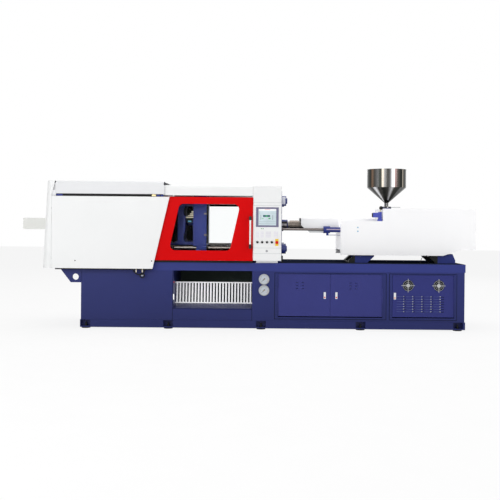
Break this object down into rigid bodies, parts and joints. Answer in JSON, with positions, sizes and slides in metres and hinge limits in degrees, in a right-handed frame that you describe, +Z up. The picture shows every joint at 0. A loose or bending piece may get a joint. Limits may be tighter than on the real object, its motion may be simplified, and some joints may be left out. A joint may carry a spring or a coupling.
{
  "type": "injection moulding machine",
  "caption": "Horizontal toggle-type injection moulding machine with a blue bed, red sliding safety door, white covers and a steel hopper.",
  "frame": {"origin": "on the floor under the middle of the machine", "axes": "+X from the clamp end to the injection end, +Y from the operator's side to the rear, +Z up"},
  "size_m": [5.808, 1.318, 2.029],
  "materials": {
    "bed_paint": "semi-gloss dark blue enamel",
    "blue_paint": "semi-gloss blue enamel",
    "white_paint": "fine textured white powder coat",
    "red_paint": "gloss red enamel",
    "grille_paint": "white powder coat",
    "plate_paint": "pale grey enamel",
    "black_paint": "matte black",
    "steel": "zinc plated",
    "ground_steel": "ground and polished",
    "dark_steel": "heat-darkened",
    "polished_steel": "polished stainless",
    "chrome_parts": "bright",
    "gauge_metal": "polished rim",
    "needle_paint": "matte black",
    "black_plastic": "satin",
    "red_plastic": "gloss",
    "white_plastic": "satin",
    "clear_pane": "clear polycarbonate",
    "yellow_plastic": "gloss",
    "green_plastic": "satin",
    "blue_plastic": "satin",
    "pale_plastic": "satin",
    "dial_white": "matte white",
    "rubber": "black rubber",
    "brass": "machined",
    "screen_glass": "lit screen"
  },
  "bodies": {
    "frame": {"bed_frame": "bed_paint", "levelling_pads": "steel", "chute_grille": "grille_paint", "gauge_cases": "gauge_metal", "electrical_plate": "plate_paint", "pump_unit": "blue_paint", "fixed_platen": "blue_paint", "tie_bars": "ground_steel", "guard_frame": "black_paint", "front_side_cover": "white_paint", "rear_side_cover": "white_paint", "tail_cover": "white_paint", "cylinder_guard": "white_paint", "rear_hood": "white_paint", "control_cabinet": "white_paint", "injection_base": "blue_paint", "shift_rods": "ground_steel"},
    "tail_platen": {"tail_platen": "blue_paint", "clamp_cylinder": "blue_paint"},
    "moving_platen": {"moving_platen": "blue_paint"},
    "ejector_plate": {"ejector_plate": "blue_paint"},
    "crosshead": {"crosshead": "blue_paint"},
    "upper_rear_link": {"upper_rear_link": "blue_paint"},
    "lower_rear_link": {"lower_rear_link": "blue_paint"},
    "upper_front_link": {"upper_front_link": "blue_paint"},
    "lower_front_link": {"lower_front_link": "blue_paint"},
    "upper_crosshead_link": {"upper_crosshead_link": "blue_paint"},
    "lower_crosshead_link": {"lower_crosshead_link": "blue_paint"},
    "front_door": {"front_door": "red_paint", "front_door_window": "clear_pane", "front_door_handle": "white_plastic"},
    "rear_door": {"rear_door": "red_paint", "rear_door_window": "clear_pane"},
    "front_hood": {"front_hood": "white_paint"},
    "left_cabinet_door": {"left_cabinet_door": "bed_paint"},
    "right_cabinet_door": {"right_cabinet_door": "bed_paint"},
    "fan_door": {"fan_door": "bed_paint", "fan_guards": "steel"},
    "left_fan_rotor": {"left_fan_rotor": "black_plastic"},
    "right_fan_rotor": {"right_fan_rotor": "black_plastic"},
    "left_lock_lever": {"left_lock_lever": "chrome_parts"},
    "right_lock_lever": {"right_lock_lever": "chrome_parts"},
    "fan_lock_lever": {"fan_lock_lever": "chrome_parts"},
    "upper_gauge_needle": {"upper_gauge_needle": "needle_paint"},
    "lower_gauge_needle": {"lower_gauge_needle": "needle_paint"},
    "first_button": {"first_button": "black_plastic"},
    "second_button": {"second_button": "black_plastic"},
    "third_button": {"third_button": "black_plastic"},
    "fourth_button": {"fourth_button": "black_plastic"},
    "emergency_stop_button": {"emergency_stop_button": "red_plastic"},
    "carriage": {"carriage": "blue_paint", "barrel": "dark_steel", "barrel_guard": "white_paint", "injection_guard": "white_paint", "shift_cylinders": "blue_paint", "injection_cylinders": "blue_paint", "hopper": "polished_steel"},
    "slide_gate": {"slide_gate": "polished_steel"},
    "drive_plate": {"drive_plate": "blue_paint"},
    "screw": {"screw": "ground_steel"}
  },
  "joints": [
    {"name": "mould_height", "type": "slide", "parent": "frame", "child": "tail_platen", "axis": [1, 0, 0], "range_m": [-0.205, 0.165]},
    {"name": "clamp_slide", "type": "slide", "parent": "tail_platen", "child": "moving_platen", "axis": [1, 0, 0], "range_m": [0, 0.41977]},
    {"name": "ejector_slide", "type": "slide", "parent": "moving_platen", "child": "ejector_plate", "axis": [1, 0, 0], "range_m": [0, 0.1]},
    {"name": "crosshead_slide", "type": "slide", "parent": "tail_platen", "child": "crosshead", "axis": [1, 0, 0], "range_m": [0, 0.46095]},
    {"name": "upper_rear_link_pin", "type": "hinge", "parent": "tail_platen", "child": "upper_rear_link", "pos_m": [-1.26, 0, 1.598], "axis": [0, 1, 0], "range_deg": [-125.05, 0]},
    {"name": "lower_rear_link_pin", "type": "hinge", "parent": "tail_platen", "child": "lower_rear_link", "pos_m": [-1.26, 0, 0.998], "axis": [0, 1, 0], "range_deg": [0, 125.05]},
    {"name": "upper_front_link_pin", "type": "hinge", "parent": "moving_platen", "child": "upper_front_link", "pos_m": [-0.95977, 0, 1.598], "axis": [0, 1, 0], "range_deg": [0, 24.2]},
    {"name": "lower_front_link_pin", "type": "hinge", "parent": "moving_platen", "child": "lower_front_link", "pos_m": [-0.95977, 0, 0.998], "axis": [0, 1, 0], "range_deg": [-24.2, 0]},
    {"name": "upper_crosshead_link_pin", "type": "hinge", "parent": "crosshead", "child": "upper_crosshead_link", "pos_m": [-1.5329, 0, 1.378], "axis": [0, 1, 0], "range_deg": [-46.05, 0]},
    {"name": "lower_crosshead_link_pin", "type": "hinge", "parent": "crosshead", "child": "lower_crosshead_link", "pos_m": [-1.5329, 0, 1.218], "axis": [0, 1, 0], "range_deg": [0, 46.05]},
    {"name": "front_door_slide", "type": "slide", "parent": "frame", "child": "front_door", "axis": [1, 0, 0], "range_m": [-0.95, 0]},
    {"name": "rear_door_slide", "type": "slide", "parent": "frame", "child": "rear_door", "axis": [1, 0, 0], "range_m": [-0.95, 0]},
    {"name": "front_hood_slide", "type": "slide", "parent": "frame", "child": "front_hood", "axis": [1, 0, 0], "range_m": [-0.95, 0]},
    {"name": "left_cabinet_door_hinge", "type": "hinge", "parent": "frame", "child": "left_cabinet_door", "pos_m": [0.3965, -0.552, 0.427], "axis": [0, 0, 1], "range_deg": [-110, 0]},
    {"name": "right_cabinet_door_hinge", "type": "hinge", "parent": "frame", "child": "right_cabinet_door", "pos_m": [1.6925, -0.552, 0.427], "axis": [0, 0, 1], "range_deg": [0, 110]},
    {"name": "fan_door_hinge", "type": "hinge", "parent": "frame", "child": "fan_door", "pos_m": [2.5805, -0.552, 0.427], "axis": [0, 0, 1], "range_deg": [0, 110]},
    {"name": "left_fan_spin", "type": "hinge", "parent": "fan_door", "child": "left_fan_rotor", "pos_m": [2.01, -0.53, 0.558], "axis": [0, 1, 0], "continuous": true},
    {"name": "right_fan_spin", "type": "hinge", "parent": "fan_door", "child": "right_fan_rotor", "pos_m": [2.391, -0.53, 0.558], "axis": [0, 1, 0], "continuous": true},
    {"name": "left_lock_turn", "type": "hinge", "parent": "left_cabinet_door", "child": "left_lock_lever", "pos_m": [0.976, -0.547, 0.4545], "axis": [0, 1, 0], "range_deg": [0, 90]},
    {"name": "right_lock_turn", "type": "hinge", "parent": "right_cabinet_door", "child": "right_lock_lever", "pos_m": [1.12, -0.547, 0.4545], "axis": [0, 1, 0], "range_deg": [0, 90]},
    {"name": "fan_lock_turn", "type": "hinge", "parent": "fan_door", "child": "fan_lock_lever", "pos_m": [1.845, -0.547, 0.4545], "axis": [0, 1, 0], "range_deg": [0, 90]},
    {"name": "upper_needle_turn", "type": "hinge", "parent": "frame", "child": "upper_gauge_needle", "pos_m": [0.222, -0.555, 0.621], "axis": [0, 1, 0], "range_deg": [0, 270], "stiffness_Nm_per_rad": 0.002},
    {"name": "lower_needle_turn", "type": "hinge", "parent": "frame", "child": "lower_gauge_needle", "pos_m": [0.222, -0.555, 0.484], "axis": [0, 1, 0], "range_deg": [0, 270], "stiffness_Nm_per_rad": 0.002},
    {"name": "first_button_press", "type": "slide", "parent": "frame", "child": "first_button", "axis": [0, 1, 0], "range_m": [0, 0.004], "stiffness_N_per_m": 400, "springref_m": -0.002},
    {"name": "second_button_press", "type": "slide", "parent": "frame", "child": "second_button", "axis": [0, 1, 0], "range_m": [0, 0.004], "stiffness_N_per_m": 400, "springref_m": -0.002},
    {"name": "third_button_press", "type": "slide", "parent": "frame", "child": "third_button", "axis": [0, 1, 0], "range_m": [0, 0.004], "stiffness_N_per_m": 400, "springref_m": -0.002},
    {"name": "fourth_button_press", "type": "slide", "parent": "frame", "child": "fourth_button", "axis": [0, 1, 0], "range_m": [0, 0.004], "stiffness_N_per_m": 400, "springref_m": -0.002},
    {"name": "emergency_stop_press", "type": "slide", "parent": "frame", "child": "emergency_stop_button", "axis": [0, 1, 0], "range_m": [0, 0.005]},
    {"name": "carriage_slide", "type": "slide", "parent": "frame", "child": "carriage", "axis": [1, 0, 0], "range_m": [0, 0.3]},
    {"name": "slide_gate_pull", "type": "slide", "parent": "carriage", "child": "slide_gate", "axis": [1, 0, 0], "range_m": [-0.06, 0]},
    {"name": "screw_stroke", "type": "slide", "parent": "carriage", "child": "drive_plate", "axis": [1, 0, 0], "range_m": [0, 0.2]},
    {"name": "screw_spin", "type": "hinge", "parent": "drive_plate", "child": "screw", "pos_m": [2, 0, 1.298], "axis": [1, 0, 0], "continuous": true}
  ],
  "couplings": [
    {"joint": "crosshead_slide", "follows": "clamp_slide", "ratio": 1.0978},
    {"joint": "upper_rear_link_pin", "follows": "clamp_slide", "rad_per_m": -5.1973},
    {"joint": "lower_rear_link_pin", "follows": "clamp_slide", "rad_per_m": 5.1973},
    {"joint": "upper_front_link_pin", "follows": "clamp_slide", "rad_per_m": 1.0053},
    {"joint": "lower_front_link_pin", "follows": "clamp_slide", "rad_per_m": -1.0053},
    {"joint": "upper_crosshead_link_pin", "follows": "clamp_slide", "rad_per_m": -1.9131},
    {"joint": "lower_crosshead_link_pin", "follows": "clamp_slide", "rad_per_m": 1.9131}
  ]
}
